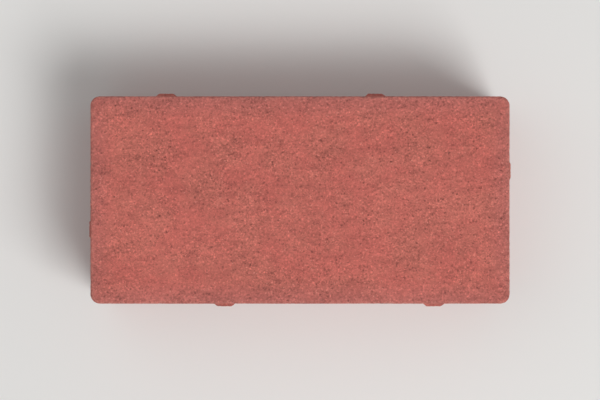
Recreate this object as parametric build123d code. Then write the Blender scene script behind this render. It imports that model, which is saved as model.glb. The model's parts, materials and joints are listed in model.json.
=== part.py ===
from build123d import *
import os

# A rectangular paving stone of through-coloured concrete, pressed in one piece.
# Frame: X along the length, Y across the width, Z up. The origin is the middle of the bed face.
# All sizes are in millimetres.

# Laying module: the rectangle that the stone takes up, with half a joint all round it
MODULE_LENGTH = 200.0
MODULE_WIDTH = 100.0
JOINT_WIDTH = 2.0

# The stone
THICKNESS = 60.0
CORNER_RADIUS = 4.5
ARRIS_RADIUS = 1.2

# Spacer nibs: upright ribs on the sides, as proud as the joint is wide, so that they hold it open
NIB_FACE_WIDTH = 7.0
NIB_FLANK_SPREAD = 2.0
NIB_HAND_OFFSET = 14.0
NIB_TOP_SETBACK = 12.0
NIB_HEAD_SLOPE = 5.0
NIB_EDGE_RADIUS = 0.5
NIB_ROOT_DEPTH = 3.0

# Sizes that follow from the ones above
STONE_LENGTH = MODULE_LENGTH - JOINT_WIDTH
STONE_WIDTH = MODULE_WIDTH - JOINT_WIDTH
NIB_HEIGHT = THICKNESS - NIB_TOP_SETBACK
NIB_PITCH = MODULE_WIDTH


def stone_body():
    """The block itself: rounded upright corners, and a small round along the edge of the wearing face."""
    plan = RectangleRounded(STONE_LENGTH, STONE_WIDTH, CORNER_RADIUS)
    block = extrude(plan, amount=THICKNESS)
    wearing_face = block.faces().sort_by(Axis.Z).last
    return fillet(wearing_face.edges(), radius=ARRIS_RADIUS)


def spacer_nib():
    """One nib, standing on a side whose outward normal is +X, with that side in the plane X = 0.

    It is as proud as the joint is wide. Its flanks spread towards the side and its head slopes back,
    which lets it leave the mould. It starts at the bed face.
    """
    half_face = NIB_FACE_WIDTH / 2
    half_foot = half_face + NIB_FLANK_SPREAD
    plan = Polygon(
        (-NIB_ROOT_DEPTH, -half_foot),
        (0, -half_foot),
        (JOINT_WIDTH, -half_face),
        (JOINT_WIDTH, half_face),
        (0, half_foot),
        (-NIB_ROOT_DEPTH, half_foot),
        align=None,
    )
    side_view = Polygon(
        (-NIB_ROOT_DEPTH, 0),
        (JOINT_WIDTH, 0),
        (JOINT_WIDTH, NIB_HEIGHT - NIB_HEAD_SLOPE),
        (0, NIB_HEIGHT),
        (-NIB_ROOT_DEPTH, NIB_HEIGHT),
        align=None,
    )
    rib = extrude(plan, amount=NIB_HEIGHT)
    nib = rib & extrude(Plane.XZ * side_view, amount=half_foot, both=True)
    outer_face = nib.faces().sort_by(Axis.X).last
    worn_edges = outer_face.edges().filter_by(lambda edge: edge.center().Z > NIB_EDGE_RADIUS)
    return fillet(worn_edges, radius=NIB_EDGE_RADIUS)


def nibs_on_side(side_distance, side_length, facing):
    """The nibs of one side: one in each module-wide stretch, all set off the middle to the same hand.

    Straight across the stone from each nib, the side is then plain.
    """
    count = max(1, round((side_length + JOINT_WIDTH) / NIB_PITCH))
    first = -NIB_PITCH * (count - 1) / 2 + NIB_HAND_OFFSET
    nib = spacer_nib()
    turn = Rotation(0, 0, facing)
    return [turn * Pos(side_distance, first + NIB_PITCH * k, 0) * nib for k in range(count)]


def paving_stone():
    """The whole stone, body and nibs in one solid."""
    stone = stone_body()
    for facing in (0, 180):
        for nib in nibs_on_side(STONE_LENGTH / 2, STONE_WIDTH, facing):
            stone += nib
    for facing in (90, 270):
        for nib in nibs_on_side(STONE_WIDTH / 2, STONE_LENGTH, facing):
            stone += nib
    return stone


os.makedirs("parts", exist_ok=True)
export_step(paving_stone(), "parts/paving_stone.step")
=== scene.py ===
import json
import math

import bpy
import numpy as np
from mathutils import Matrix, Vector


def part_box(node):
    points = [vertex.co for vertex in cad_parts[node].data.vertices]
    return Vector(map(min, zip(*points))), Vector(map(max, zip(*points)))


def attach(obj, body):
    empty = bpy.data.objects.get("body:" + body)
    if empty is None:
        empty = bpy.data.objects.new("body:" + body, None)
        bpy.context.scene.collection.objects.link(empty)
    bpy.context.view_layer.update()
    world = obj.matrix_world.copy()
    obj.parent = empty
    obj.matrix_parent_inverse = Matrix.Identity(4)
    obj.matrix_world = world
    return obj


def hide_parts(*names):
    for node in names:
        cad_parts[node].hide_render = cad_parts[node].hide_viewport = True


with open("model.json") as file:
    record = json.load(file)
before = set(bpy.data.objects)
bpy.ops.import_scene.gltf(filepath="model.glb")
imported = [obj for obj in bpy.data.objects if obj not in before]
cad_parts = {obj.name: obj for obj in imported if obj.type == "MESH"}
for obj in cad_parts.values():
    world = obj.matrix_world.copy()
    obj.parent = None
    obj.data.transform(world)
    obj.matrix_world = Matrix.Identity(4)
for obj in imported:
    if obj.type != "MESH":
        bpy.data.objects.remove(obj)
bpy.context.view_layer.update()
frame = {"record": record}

# Block
# The body of the stone, one casting of through-coloured concrete. It is pressed and shaken in a steel mould,
# which rounds its upright corners, and its tamper head leaves a slight crown and a soft edge on the top.
NIB_REACH = 0.002
CORNER_RADIUS = 0.0045
CORNER_STEPS = 10
ARRIS_RADIUS = 0.0012
ARRIS_STEPS = 5
CROWN = 0.0005
CROWN_WIDTH = 0.010
CROWN_RINGS = 4
SQUARELY = 0.9
LEVEL_WITHIN = 1e-6

low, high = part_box("paving_stone")
length = high.x - low.x - 2 * NIB_REACH
width = high.y - low.y - 2 * NIB_REACH
thickness = high.z
edge_height = thickness - CROWN


def pick_edges(piece, wanted):
    """Goes into edit mode with only the edges whose two ends pass the test."""
    bpy.ops.object.mode_set(mode="EDIT")
    bpy.ops.mesh.select_mode(type="EDGE")
    bpy.ops.mesh.select_all(action="DESELECT")
    bpy.ops.object.mode_set(mode="OBJECT")
    corners = piece.data.vertices
    for edge in piece.data.edges:
        a, b = (corners[i].co for i in edge.vertices)
        edge.select = bool(wanted(a, b))
    bpy.ops.object.mode_set(mode="EDIT")


def pick_faces(piece, wanted):
    """Goes into edit mode with only the faces that pass the test."""
    bpy.ops.object.mode_set(mode="EDIT")
    bpy.ops.mesh.select_mode(type="FACE")
    bpy.ops.mesh.select_all(action="DESELECT")
    bpy.ops.object.mode_set(mode="OBJECT")
    for face in piece.data.polygons:
        face.select = bool(wanted(face))
    bpy.ops.object.mode_set(mode="EDIT")


def round_edges(piece, wanted, radius, steps):
    """Rounds the edges whose two ends pass the test."""
    pick_edges(piece, wanted)
    bpy.ops.mesh.bevel(offset=radius, offset_type="OFFSET", segments=steps, profile=0.5)
    bpy.ops.object.mode_set(mode="OBJECT")


def block_at(centre, size):
    """A new block with its place and size in its mesh."""
    bpy.ops.object.select_all(action="DESELECT")
    bpy.ops.mesh.primitive_cube_add(size=1, location=centre, scale=size)
    bpy.ops.object.transform_apply(location=True, rotation=True, scale=True)
    return bpy.context.object


def runs_upright(a, b):
    """Tells the block's four upright corners from its other edges."""
    return abs(a.z - b.z) > edge_height / 2


def at_top_edge(a, b):
    """Tells the edges where the crown meets the sides."""
    return max(abs(a.z - edge_height), abs(b.z - edge_height)) < LEVEL_WITHIN


stone = block_at((0, 0, edge_height / 2), (length, width, edge_height))
stone.name = "pressed_stone"
round_edges(stone, runs_upright, CORNER_RADIUS, CORNER_STEPS)

# The crown. The top goes up and in ring by ring, and each ring rises less than the one before.
pick_faces(stone, lambda face: face.normal.z > SQUARELY)
inset = 0.0
rise = 0.0
for ring in range(1, CROWN_RINGS + 1):
    next_inset = CROWN_WIDTH * ring / CROWN_RINGS
    next_rise = CROWN * (1 - (1 - ring / CROWN_RINGS) ** 2)
    bpy.ops.mesh.extrude_region_move(TRANSFORM_OT_translate={"value": (0, 0, next_rise - rise)})
    shrink_x = (length - 2 * next_inset) / (length - 2 * inset)
    shrink_y = (width - 2 * next_inset) / (width - 2 * inset)
    bpy.ops.transform.resize(value=(shrink_x, shrink_y, 1), center_override=(0, 0, 0))
    inset = next_inset
    rise = next_rise
bpy.ops.object.mode_set(mode="OBJECT")
round_edges(stone, at_top_edge, ARRIS_RADIUS, ARRIS_STEPS)

# Spacer nibs
# Upright ribs cast on the four sides, with drafted flanks and a sloping head so that they leave the mould.
# Each is a copy of one nib, stands where the frame says a nib's face is, and is fused with the block.
NIB_FACE_WIDTH = 0.007
NIB_FOOT_WIDTH = 0.011
NIB_TOP_SETBACK = 0.012
NIB_HEAD_SLOPE = 0.005
NIB_EDGE_RADIUS = 0.0005
NIB_EDGE_STEPS = 3
NIB_ROOT = 0.003

nib_height = thickness - NIB_TOP_SETBACK


def at_nib_head(a, b):
    """Tells the upper edge of a nib's outer face."""
    return min(a.x, b.x) > NIB_REACH / 2 and min(a.z, b.z) > nib_height / 2


def round_nib_face(a, b):
    """Tells the edges round a nib's outer face, apart from the one at the bed."""
    return min(a.x, b.x) > NIB_REACH / 2 and max(a.z, b.z) > nib_height / 2


# One nib on a side that faces +X and passes through the origin, with a root that reaches into the block.
nib_pattern = block_at((NIB_REACH / 2, 0, nib_height / 2), (NIB_REACH, NIB_FOOT_WIDTH, nib_height))
pick_faces(nib_pattern, lambda face: face.normal.x > SQUARELY)
bpy.ops.transform.resize(value=(1, NIB_FACE_WIDTH / NIB_FOOT_WIDTH, 1), center_override=(0, 0, 0))
bpy.ops.object.mode_set(mode="OBJECT")
pick_edges(nib_pattern, at_nib_head)
bpy.ops.transform.translate(value=(0, 0, -NIB_HEAD_SLOPE))
bpy.ops.object.mode_set(mode="OBJECT")
round_edges(nib_pattern, round_nib_face, NIB_EDGE_RADIUS, NIB_EDGE_STEPS)
pick_faces(nib_pattern, lambda face: face.normal.x < -SQUARELY)
bpy.ops.mesh.extrude_region_move(TRANSFORM_OT_translate={"value": (-NIB_ROOT, 0, 0)})
bpy.ops.object.mode_set(mode="OBJECT")

nibs = []
for mount in frame["record"]["mounts"]:
    if not mount["name"].startswith("nib_face"):
        continue
    out_x, out_y, _ = mount["axis"]
    face_x, face_y, _ = mount["pos_m"]
    nib = nib_pattern.copy()
    nib.data = nib_pattern.data.copy()
    bpy.context.collection.objects.link(nib)
    nib.rotation_euler.z = math.atan2(out_y, out_x)
    nib.location = (face_x - NIB_REACH * out_x, face_y - NIB_REACH * out_y, 0)
    nibs.append(nib)
bpy.data.objects.remove(nib_pattern)

bpy.ops.object.select_all(action="DESELECT")
for nib in nibs:
    nib.select_set(True)
bpy.context.view_layer.objects.active = nibs[0]
bpy.ops.object.transform_apply(location=True, rotation=True, scale=True)
bpy.ops.object.join()
nib_set = bpy.context.object

bpy.ops.object.select_all(action="DESELECT")
stone.select_set(True)
bpy.context.view_layer.objects.active = stone
fuse = stone.modifiers.new("fuse", "BOOLEAN")
fuse.operation = "UNION"
fuse.solver = "EXACT"
fuse.object = nib_set
bpy.ops.object.modifier_apply(modifier="fuse")
bpy.data.objects.remove(nib_set)

# Cast surface
# What the mould, the mix and the handling leave on the casting: a close, sanded wearing face, and sides that
# are more open, with drag marks from when the stone was pushed out of the mould, and small worn edges.
SKIN_DEPTH = 9
SKIN_FILL = 0.92
MOST_TRIANGLES = 195_000
MM = 1000.0

# Where each kind of surface begins and where it is complete, in millimetres from its face or edge.
OPEN_SIDES = (1.0, 16.0)
CLEAR_OF_BED = (0.2, 2.5)
CHIPPED_ARRIS = (1.9, 0.3)
CHIPPED_BED_EDGE = (2.2, 0.3)
# The rubbed arris, which is paler from wear and as a painted highlight.
RUBBED_HIGHLIT_ARRIS = (2.2, 0.6)
# The band of painted shade round the wearing face, close to its top.
SHADED_RIM = (13.0, 0.5)
CLOSE_TO_TOP = (2.5, 0.8)

# The depth of a void for its radius, and the least weight of the sand and how much is added to it at most.
SMALL_VOID_DEPTH = 0.45
LARGE_VOID_DEPTH = 0.55
LEAST_SANDINESS = 0.77
SANDINESS_SPREAD = 0.5

# The most that chips take off an edge, in millimetres.
MOST_WEAR = 0.5

# A place squeezed like this gives a pattern that is drawn out upright.
DRAG_SQUEEZE = (1, 1, 0.08)


class Field:
    """A number or place that changes over the stone. Plain arithmetic on it adds math nodes to its tree."""

    def __init__(self, socket):
        self.socket = socket
        self.tree = socket.id_data

    def math(self, operation, *others):
        return put(self.tree, "ShaderNodeMath", dict(enumerate((self, *others))), operation=operation)

    def __add__(self, other):
        return self.math("ADD", other)

    def __sub__(self, other):
        return self.math("SUBTRACT", other)

    def __mul__(self, other):
        return self.math("MULTIPLY", other)

    def at_least(self, floor):
        return self.math("MAXIMUM", floor)

    def at_most(self, ceiling):
        return self.math("MINIMUM", ceiling)

    def ramp(self, start, end):
        """A smooth step from 0 to 1 as the number goes from the start to the end."""
        inputs = {"Value": self, "From Min": start, "From Max": end, "To Min": 0.0, "To Max": 1.0}
        return put(self.tree, "ShaderNodeMapRange", inputs, interpolation_type="SMOOTHSTEP")


def put(tree, kind, inputs=None, output=0, **settings):
    """Adds a node with its settings and returns one of its outputs. An input is a value or another Field."""
    made = tree.nodes.new(kind)
    for name, value in settings.items():
        setattr(made, name, value)
    for key, value in (inputs or {}).items():
        if isinstance(value, Field):
            tree.links.new(value.socket, made.inputs[key])
        else:
            made.inputs[key].default_value = value
    return Field(made.outputs[output])


def vector_sum(operation, a, b=(0, 0, 0), output="Vector"):
    """One sum on a place, on two places, or on a place and a number to scale it by."""
    second = "Scale" if operation == "SCALE" else 1
    return put(a.tree, "ShaderNodeVectorMath", {0: a, second: b}, output, operation=operation)


def parts_of(place):
    """The three numbers of a place."""
    return [put(place.tree, "ShaderNodeSeparateXYZ", {0: place}, axis) for axis in range(3)]


def noise(place, size, detail=2.0, roughness=0.5):
    """Cloudy noise from 0 to 1, with blobs of about that size in millimetres."""
    inputs = {"Vector": place, "Scale": 1 / size, "Detail": detail, "Roughness": roughness}
    return put(place.tree, "ShaderNodeTexNoise", inputs, "Fac")


def above(value, floor, slope):
    """How far a number lies above a floor, times a slope."""
    return ((value - floor) * slope).at_least(0.0)


def change(share, a, b):
    """The second number in place of the first, by a share from 0 to 1."""
    # Sockets 2 and 3 of a mix node are its two numbers.
    return put(share.tree, "ShaderNodeMix", {0: share, 2: a, 3: b})


def warped(place, size, reach):
    """The place pushed about by noise, so that a round pattern on it gets a ragged outline."""
    push = put(place.tree, "ShaderNodeTexNoise", {"Vector": place, "Scale": 1 / size}, "Color")
    push = vector_sum("SCALE", vector_sum("SUBTRACT", push, (0.5, 0.5, 0.5)), reach)
    return vector_sum("ADD", place, push)


def cells(place, size):
    """A scatter of cells of that size in millimetres: the distance to each middle, and a number by chance."""
    inputs = {"Vector": place, "Scale": 1 / size}
    distance = put(place.tree, "ShaderNodeTexVoronoi", inputs, "Distance")
    colour = Field(distance.socket.node.outputs["Color"])
    return distance * size, parts_of(colour)[0]


def voids(place, spacing, share, largest):
    """How deep a point lies in a scatter of round air voids, in millimetres. That share of the cells has one.

    The largest radius is given. Most of the voids are much smaller.
    """
    distance, chance = cells(place, spacing)
    size = above(chance, 1 - share, 1 / share)
    radius = size * size * largest
    return (radius * radius - distance * distance).at_least(0.0).math("SQRT")


def small_voids(place):
    """The few small voids of the wearing face."""
    return voids(warped(place, size=2.0, reach=2.2), spacing=5.0, share=0.35, largest=1.1)


def large_voids(place):
    """The voids of the sides and the bed."""
    return voids(warped(place, size=2.0, reach=2.4), spacing=5.5, share=0.42, largest=2.5)


def sandiness(place):
    """How far the sand stands out of the paste, which varies over the stone."""
    return noise(place, size=15.0).ramp(0.32, 0.68) * SANDINESS_SPREAD + LEAST_SANDINESS


# The block and its nibs get one closed skin of small even squares, fine enough to carry the relief.
skin = stone.modifiers.new("skin", "REMESH")
skin.mode = "SHARP"
skin.octree_depth = SKIN_DEPTH
skin.scale = SKIN_FILL
skin.use_remove_disconnected = False
bpy.ops.object.modifier_apply(modifier="skin")

relief = bpy.data.node_groups.new("cast_relief", "GeometryNodeTree")
relief.interface.new_socket("Geometry", in_out="INPUT", socket_type="NodeSocketGeometry")
relief.interface.new_socket("Geometry", in_out="OUTPUT", socket_type="NodeSocketGeometry")
place = vector_sum("SCALE", put(relief, "GeometryNodeInputPosition"), MM)
height = parts_of(place)[2]
top_gap = (height * -1.0 + thickness * MM).at_least(0.0)

# How far a point lies in from the outline of the plan, which is a rectangle with rounded corners.
corner = CORNER_RADIUS * MM
inner_box = (length / 2 * MM - corner, width / 2 * MM - corner, thickness * MM)
past = vector_sum("SUBTRACT", vector_sum("ABSOLUTE", place), inner_box)
past_x, past_y, _ = parts_of(past)
past_corner = vector_sum("LENGTH", vector_sum("MAXIMUM", past, (0, 0, 0)), output="Value")
outline_gap = ((past_corner + past_x.at_least(past_y).at_most(0.0)) * -1.0 + corner).at_least(0.0)
from_arris = (outline_gap * outline_gap + top_gap * top_gap).math("SQRT")
from_bed_edge = (outline_gap * outline_gap + height * height).math("SQRT")

# On the wearing face: gentle waves, sand relief and a few small voids.
waves = above(noise(place, size=24.0), floor=0.35, slope=0.20)
sand = above(noise(place, size=1.8, roughness=0.6), floor=0.48, slope=0.62) * sandiness(place)
face_depth = waves + sand + small_voids(place) * SMALL_VOID_DEPTH

# On the sides: upright drag marks, lumps and larger voids. The bed has the voids, and dents from the board
# that the stone was pressed on.
drawn_upright = vector_sum("MULTIPLY", place, DRAG_SQUEEZE)
drag_marks = above(noise(drawn_upright, size=1.6, detail=3.0, roughness=0.6), floor=0.50, slope=1.2)
lumps = above(noise(place, size=2.6, detail=3.0, roughness=0.6), floor=0.54, slope=1.8)
dents = above(noise(place, size=4.5, detail=1.0), floor=0.48, slope=1.2)
marks = change(height.ramp(*CLEAR_OF_BED), dents, drag_marks + lumps)
rough_depth = waves + marks + large_voids(place) * LARGE_VOID_DEPTH
openness = top_gap.ramp(*OPEN_SIDES)
depth = change(openness, face_depth, rough_depth)

# Small breaks and wear along the arris and along the edge of the bed.
chips = above(noise(place, size=4.0, detail=3.0, roughness=0.6), floor=0.58, slope=7.0)
worn = chips * from_arris.ramp(*CHIPPED_ARRIS) + chips * from_bed_edge.ramp(*CHIPPED_BED_EDGE)
worn = worn.at_most(MOST_WEAR)
depth = depth + worn

# A band of painted shade, greyer and darker, round the wearing face, and the arris, paler from rubbing and as
# a painted highlight.
rim_shade = outline_gap.ramp(*SHADED_RIM) * top_gap.ramp(*CLOSE_TO_TOP)
rubbed_and_highlit = from_arris.ramp(*RUBBED_HIGHLIT_ARRIS)

# The mesh keeps these as attributes, which its colour is made from.
masks = (("hollow", depth), ("openness", openness), ("worn", worn), ("rim_shade", rim_shade), ("rubbed_and_highlit", rubbed_and_highlit))
shape = put(relief, "NodeGroupInput")
for name, value in masks:
    inputs = {"Geometry": shape, "Name": name, "Value": value}
    shape = put(relief, "GeometryNodeStoreNamedAttribute", inputs, data_type="FLOAT", domain="POINT")
inward = vector_sum("SCALE", put(relief, "GeometryNodeInputNormal"), depth * (-1 / MM))
moved = put(relief, "GeometryNodeSetPosition", {"Geometry": shape, "Offset": inward})
relief.links.new(moved.socket, relief.nodes.new("NodeGroupOutput").inputs[0])

carve = stone.modifiers.new("relief", "NODES")
carve.node_group = relief
bpy.ops.object.modifier_apply(modifier="relief")

# Triangles are taken out where the surface needs them least.
thin = stone.modifiers.new("thin", "DECIMATE")
thin.ratio = MOST_TRIANGLES / sum(len(face.vertices) - 2 for face in stone.data.polygons)
bpy.ops.object.modifier_apply(modifier="thin")
bpy.ops.object.shade_smooth()

# Flat map
# The skin of the stone laid out on a square, for a finish that is baked: the wearing face in the lowest row,
# a long side and an end in each of the next two, and the bed above them. Scales are in squares a metre.
FACE_SCALE = 4.1
SIDE_SCALE = 2.9
BED_SCALE = 1.9
MAP_GAP = 0.008
BED_DEPTH = 0.0015
DOWNWARDS = -0.7


def read_numbers(items, name, count):
    """One property of every item in a list of mesh parts, in rows of that many numbers."""
    found = np.empty(len(items) * count, np.float32)
    items.foreach_get(name, found)
    return found.reshape(-1, count)


def lay_flat(mesh):
    """Adds the map. A face goes with the side of the block that its middle lies nearest to."""
    front_row = 2 * MAP_GAP + 2 * high.y * FACE_SCALE
    back_row = front_row + MAP_GAP + thickness * SIDE_SCALE
    bed_row = back_row + MAP_GAP + thickness * SIDE_SCALE
    ends = 2 * MAP_GAP + 2 * high.x * SIDE_SCALE
    # For each side: which way is right and which is up as one looks at it, its scale, and its place.
    sides = (
        ((0, 1, 0), (0, 0, 1), SIDE_SCALE, ends, front_row),
        ((0, -1, 0), (0, 0, 1), SIDE_SCALE, ends, back_row),
        ((-1, 0, 0), (0, 0, 1), SIDE_SCALE, MAP_GAP, back_row),
        ((1, 0, 0), (0, 0, 1), SIDE_SCALE, MAP_GAP, front_row),
        ((1, 0, 0), (0, 1, 0), FACE_SCALE, MAP_GAP, MAP_GAP),
        ((1, 0, 0), (0, -1, 0), BED_SCALE, MAP_GAP, bed_row),
    )
    x, y, z = read_numbers(mesh.polygons, "center", 3).T
    gaps = [length / 2 - x, length / 2 + x, width / 2 - y, width / 2 + y, thickness - z, z]
    nearest = np.argmin(gaps, axis=0)
    faces_down = read_numbers(mesh.polygons, "normal", 3)[:, 2] < DOWNWARDS
    nearest[faces_down & (z < BED_DEPTH)] = len(sides) - 1

    corners = read_numbers(mesh.loops, "vertex_index", 1).astype(int).ravel()
    places = read_numbers(mesh.vertices, "co", 3)[corners]
    side_of = np.repeat(nearest, [face.loop_total for face in mesh.polygons])
    flat = np.empty((len(places), 2), np.float32)
    for number, (right, up, scale, left, bottom) in enumerate(sides):
        mine = side_of == number
        for axis, (direction, start) in enumerate(((right, left), (up, bottom))):
            along = places[mine] @ np.array(direction, np.float32)
            lowest = min(np.dot(direction, low), np.dot(direction, high))
            flat[mine, axis] = start + (along - lowest) * scale
    mesh.uv_layers.new(name="OFBake").uv.foreach_set("vector", flat.ravel())


lay_flat(stone.data)

# Concrete
# Sand, cement and iron oxide, coloured through: a matt brick red with grains a little paler and darker than
# the paste, pin holes between them, and a faint grain along the stone. Painted shade greys and darkens a band
# round the edges of the wearing face, darkens the pin holes, hollows and voids, and in part the sides. The
# arris is paler, partly where it is rubbed and partly as a painted highlight.
RICH_PASTE = (0.486, 0.1240, 0.1000, 1)
POOR_PASTE = (0.466, 0.1335, 0.1035, 1)
# The colour of the band of painted shade round the wearing face.
RIM_SHADE_PASTE = (0.420, 0.1245, 0.1040, 1)
PALE_SAND = (0.60, 0.33, 0.26, 1)
PALE_GRAVEL = (0.50, 0.235, 0.175, 1)
# The painted shadow in the pin holes.
PORE_SHADOW = (0.20, 0.060, 0.052, 1)

# How bright the paste is, and how much each of these makes it brighter or darker. The three shades are
# painted shade: on the sides in part, and in the hollows and voids.
PASTE_TONE = 1.20
STREAK_CONTRAST = 0.76
GRIT_CONTRAST = 1.65
SAND_CONTRAST = 0.40
FINES_CONTRAST = 0.35
CLOUD_CONTRAST = 0.42
SIDE_SHADE = 0.11
HOLLOW_SHADE = 0.12
VOID_SHADE = 0.12
WORN_TINT = 0.10

# How much of the paste each of these hides where it lies. The rubbed arris is partly a painted highlight,
# and the pore colour is painted shadow.
FINES_COVER = 0.5
RUBBED_HIGHLIGHT_COVER = 0.30
GRAVEL_COVER = 0.45
PORE_SHADOW_COVER = 0.6

# Places squeezed like this give patterns that are drawn out along the stone and upright.
FACE_SQUEEZE = (0.45, 1, 1)
SIDE_SQUEEZE = (1, 1, 0.07)

# The relief of the bump. A pin hole's depth is for its radius, and the last two are only on the sides.
PIN_HOLE_DEPTH = 0.9
GRIT_HEIGHT = 0.8
SAND_HEIGHT = 0.06
SIDE_LUMP_HEIGHT = 0.5
SIDE_STREAK_DEPTH = 0.5

LEAST_ROUGHNESS = 0.80
ROUGHNESS_SPREAD = 0.16
SPECULAR_LEVEL = 0.30


def blend(share, a, b):
    """One colour laid over another by a share from 0 to 1."""
    # Sockets 6 and 7 of a mix node are its two colours, and output 2 is the mixed one.
    return put(share.tree, "ShaderNodeMix", {0: share, 6: a, 7: b}, 2, data_type="RGBA")


def odd_ones(chance):
    """Turns a number by chance into one from -1 to 1 that is near 0 for most grains."""
    off = chance - 0.5
    return off * off * off * 8.0


concrete = bpy.data.materials.new("red_concrete")
concrete.use_nodes = True
tree = concrete.node_tree
shader = tree.nodes["Principled BSDF"]
place = vector_sum("SCALE", put(tree, "ShaderNodeTexCoord", output="Object"), MM)
hollow, openness, worn, rim_shade, rubbed_and_highlit = (
    put(tree, "ShaderNodeAttribute", output="Fac", attribute_name=name) for name, _ in masks
)

# The paste, which is drawn out along the wearing face and upright on the sides.
along_stone = vector_sum("MULTIPLY", place, FACE_SQUEEZE)
clouds = noise(along_stone, size=22.0, detail=3.0, roughness=0.55)
face_streaks = noise(along_stone, size=3.4, detail=3.0, roughness=0.6)
side_streaks = noise(vector_sum("MULTIPLY", place, SIDE_SQUEEZE), size=2.0, detail=4.0, roughness=0.65)
streaks = change(openness, face_streaks, side_streaks)
grit = noise(place, size=1.2, detail=5.0, roughness=0.78)
bloom = noise(place, size=16.0, detail=4.0, roughness=0.6).ramp(0.34, 0.66)
# Painted shade: a greyer, darker band round the edges of the wearing face.
rim_shade_share = rim_shade * (noise(place, size=7.0, detail=3.0, roughness=0.6) * 1.4 + 0.3).at_most(1.0)

# The sand in it, and the pin holes between the grains.
rough_place = warped(place, size=0.7, reach=0.6)
sand_gap, sand_chance = cells(rough_place, size=1.3)
fines_gap, fines_chance = cells(rough_place, size=0.6)
pin_depth = voids(rough_place, spacing=1.9, share=0.6, largest=0.50) * PIN_HOLE_DEPTH
# Where the voids lie, which painted shade darkens.
in_void = change(openness, small_voids(place), large_voids(place)).ramp(0.0, 0.5)

# Coarse grains that the mould wall has rubbed bare on the sides.
gravel_gap, gravel_chance = cells(warped(place, size=1.5, reach=1.2), size=3.6)
bare = gravel_chance.ramp(0.80, 0.90) * gravel_gap.ramp(1.3, 0.9)
bare = bare * side_streaks.ramp(0.46, 0.56) * openness

# How bright the paste is. Noise and chance lie about 0.5, which is taken off them before they are weighed.
odd_sand = odd_ones(sand_chance) * sand_gap.ramp(0.75, 0.35) * SAND_CONTRAST
odd_grains = odd_sand + odd_ones(fines_chance) * FINES_CONTRAST
grain = (streaks - 0.5) * STREAK_CONTRAST + (grit - 0.5) * GRIT_CONTRAST + odd_grains
# The sides are darker, partly for their more open texture and partly as painted shade that sets them off from
# the top.
tone = grain * sandiness(place) + (clouds - 0.5) * CLOUD_CONTRAST - openness * SIDE_SHADE
# Painted shade in the hollows of the relief and in the voids.
tone = tone - hollow.ramp(0.1, 0.8) * HOLLOW_SHADE - in_void * VOID_SHADE
tone = tone + worn.ramp(0.0, 0.4) * WORN_TINT + PASTE_TONE

# The paste with a greyer band of painted shade round the wearing face, and over it the pale fines, the rubbed
# arris with its painted highlight, the bare gravel, and the painted shadow in the pin holes.
paste = blend(rim_shade_share, blend(bloom, RICH_PASTE, POOR_PASTE), RIM_SHADE_PASTE)
paste = vector_sum("SCALE", paste, tone)
pale_share = fines_chance.ramp(0.94, 1.0) * fines_gap.ramp(0.34, 0.14) * FINES_COVER
# The rubbed arris, paler from wear and as a painted highlight.
pale_share = pale_share + rubbed_and_highlit * grit.ramp(0.44, 0.60) * RUBBED_HIGHLIGHT_COVER
colour = blend(pale_share, paste, PALE_SAND)
colour = blend(bare * GRAVEL_COVER, colour, PALE_GRAVEL)
# Painted shadow in the pin holes.
colour = blend(pin_depth.ramp(0.0, 0.2) * PORE_SHADOW_COVER, colour, PORE_SHADOW)
tree.links.new(colour.socket, shader.inputs["Base Color"])
tree.links.new((grit * ROUGHNESS_SPREAD + LEAST_ROUGHNESS).socket, shader.inputs["Roughness"])
shader.inputs["Specular IOR Level"].default_value = SPECULAR_LEVEL

# Relief that is finer than the mesh, in millimetres. The sides have more of it.
fine_height = grit * GRIT_HEIGHT - pin_depth - sand_gap.ramp(0.45, 0.85) * SAND_HEIGHT
side_lumps = noise(place, size=0.8, detail=3.0, roughness=0.6) * SIDE_LUMP_HEIGHT
side_height = side_lumps - side_streaks * SIDE_STREAK_DEPTH
fine_height = fine_height + side_height * openness
bump = put(tree, "ShaderNodeBump", {"Height": fine_height, "Distance": 1 / MM, "Strength": 1.0})
tree.links.new(bump.socket, shader.inputs["Normal"])

stone.data.materials.clear()
stone.data.materials.append(concrete)
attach(stone, "root")
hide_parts("paving_stone")

# Floor
# A plain pale studio floor under the stone. Away from the stone it fades to an even backdrop of the same
# colour, which is seen but lights nothing.
FLOOR_SIDE = 30.0
FLOOR_COLOUR = (0.76, 0.755, 0.74, 1)
FLOOR_ROUGHNESS = 0.9
FADE_FROM = 0.3
FADE_TO = 1.3

bpy.ops.object.select_all(action="DESELECT")
bpy.ops.mesh.primitive_plane_add(size=FLOOR_SIDE, location=(0, 0, 0))
floor = bpy.context.object
floor.name = "studio_floor"
floor_paint = bpy.data.materials.new("pale_floor")
floor_paint.use_nodes = True
tree = floor_paint.node_tree
shader = tree.nodes["Principled BSDF"]
shader.inputs["Base Color"].default_value = FLOOR_COLOUR
shader.inputs["Roughness"].default_value = FLOOR_ROUGHNESS


def seen(tree):
    """1 where the camera sees it, straight, in a gloss or through glass, and 0 where it only gives light."""
    ways = ("Is Camera Ray", "Is Glossy Ray", "Is Transmission Ray")
    straight, gloss, through = (put(tree, "ShaderNodeLightPath", output=way) for way in ways)
    return (straight + gloss + through).at_most(1.0)


from_stone = vector_sum("LENGTH", put(tree, "ShaderNodeTexCoord", output="Object"), output="Value")
backdrop = put(tree, "ShaderNodeEmission", {"Color": FLOOR_COLOUR})
far_and_seen = from_stone.ramp(FADE_FROM, FADE_TO) * seen(tree)
mixed = put(tree, "ShaderNodeMixShader", {0: far_and_seen, 1: Field(shader.outputs[0]), 2: backdrop})
tree.links.new(mixed.socket, tree.nodes["Material Output"].inputs["Surface"])
floor.data.materials.append(floor_paint)

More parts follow.
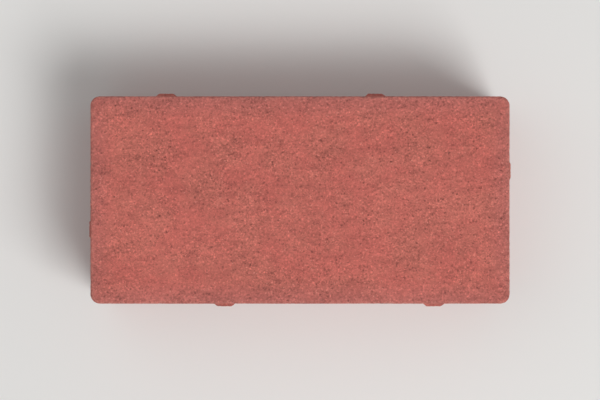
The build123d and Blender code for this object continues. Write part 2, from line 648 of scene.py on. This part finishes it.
# Light
# An even surround, a large soft lamp high on the lower right of the picture, and a weak one opposite. The
# three shares of light come to about one, so that a colour renders about as it is written.
SURROUND = 0.34
LAMP_DISTANCE = 3.2

world = bpy.data.worlds.new("studio")
world.use_nodes = True
tree = world.node_tree
surround = put(tree, "ShaderNodeBackground", {"Color": (1, 1, 1, 1), "Strength": SURROUND})
backdrop = put(tree, "ShaderNodeBackground", {"Color": FLOOR_COLOUR, "Strength": 1.0})
mixed = put(tree, "ShaderNodeMixShader", {0: seen(tree), 1: surround, 2: backdrop})
tree.links.new(mixed.socket, tree.nodes["World Output"].inputs["Surface"])
bpy.context.scene.world = world


def soft_lamp(name, azimuth, elevation, side, share):
    """A square lamp that faces the stone and gives a level surface that share of plain light.

    Its azimuth, from +X towards +Y, and its elevation are in degrees.
    """
    azimuth = math.radians(azimuth)
    elevation = math.radians(elevation)
    lamp = bpy.data.lights.new(name, "AREA")
    lamp.shape = "SQUARE"
    lamp.size = side
    lamp.energy = share * (math.pi * LAMP_DISTANCE) ** 2 / math.sin(elevation)
    held = bpy.data.objects.new(name, lamp)
    bpy.context.scene.collection.objects.link(held)
    level = LAMP_DISTANCE * math.cos(elevation)
    rise = LAMP_DISTANCE * math.sin(elevation)
    held.location = (level * math.cos(azimuth), level * math.sin(azimuth), rise)
    held.rotation_euler = (math.pi / 2 - elevation, 0, azimuth + math.pi / 2)


soft_lamp("key_lamp", azimuth=-46, elevation=54, side=1.6, share=0.58)
soft_lamp("fill_lamp", azimuth=150, elevation=60, side=2.5, share=0.09)

# Camera
# Straight above the wearing face, as in the photograph, with a long lens that shows almost no perspective.
# The stone's length takes up the given share of the picture's width.
LENS = 135.0
SENSOR = 36.0
STONE_SHARE_OF_FRAME = 0.70

camera_data = bpy.data.cameras.new("camera")
camera_data.lens = LENS
camera_data.sensor_width = SENSOR
camera = bpy.data.objects.new("camera", camera_data)
bpy.context.scene.collection.objects.link(camera)
frame_width = length / STONE_SHARE_OF_FRAME
camera.location = (0, 0, thickness + frame_width * LENS / SENSOR)
bpy.context.scene.camera = camera

bpy.context.scene.view_settings.view_transform = "Standard"
